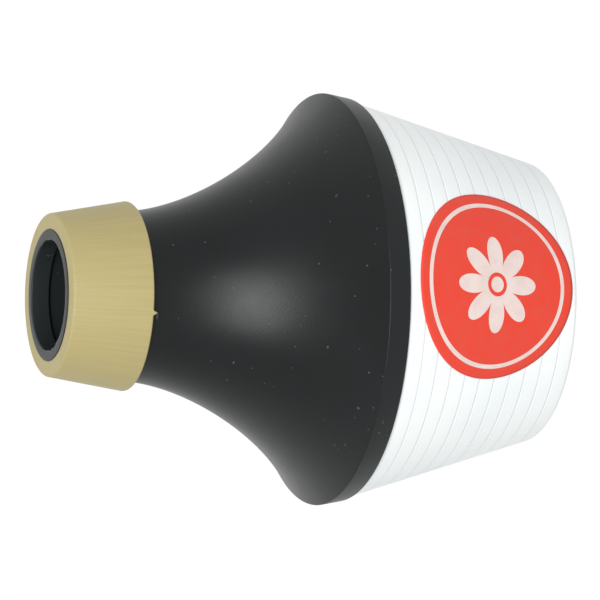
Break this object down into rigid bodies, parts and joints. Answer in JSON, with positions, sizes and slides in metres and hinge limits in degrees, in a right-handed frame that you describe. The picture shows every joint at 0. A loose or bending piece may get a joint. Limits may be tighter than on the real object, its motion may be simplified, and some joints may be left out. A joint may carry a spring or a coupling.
{
  "type": "trumpet wah-wah mute",
  "caption": "Trumpet wah-wah mute: flared black shell with a gold sealing ring round its neck, white tapered base with a round red label, and a sliding stem with a bowl.",
  "frame": {"origin": "centre of the base end's rest plane", "axes": "+Z along the mute's axis from the base end to the neck; the label faces -Y"},
  "size_m": [0.112, 0.112, 0.1373],
  "materials": {
    "black_shell": "satin moulded plastic",
    "gold_rubber": "satin gold-coloured rubber",
    "white_shell": "satin white plastic with fine grooves",
    "red_label": "printed film",
    "black_bush": "moulded",
    "ring_rubber": "matte",
    "spun_aluminium": "spun satin"
  },
  "bodies": {
    "mute": {"body_shell": "black_shell", "sealing_ring": "gold_rubber", "base_shell": "white_shell", "base_label": "red_label", "stem_bush": "black_bush", "bush_lock_ring": "black_bush", "friction_ring_outer": "ring_rubber", "friction_ring_inner": "ring_rubber"},
    "stem": {"stem_tube": "spun_aluminium", "stem_cup": "spun_aluminium"}
  },
  "joints": [
    {"name": "stem_slide", "type": "slide", "parent": "mute", "child": "stem", "axis": [0, 0, -1], "range_m": [0, 0.06]}
  ]
}
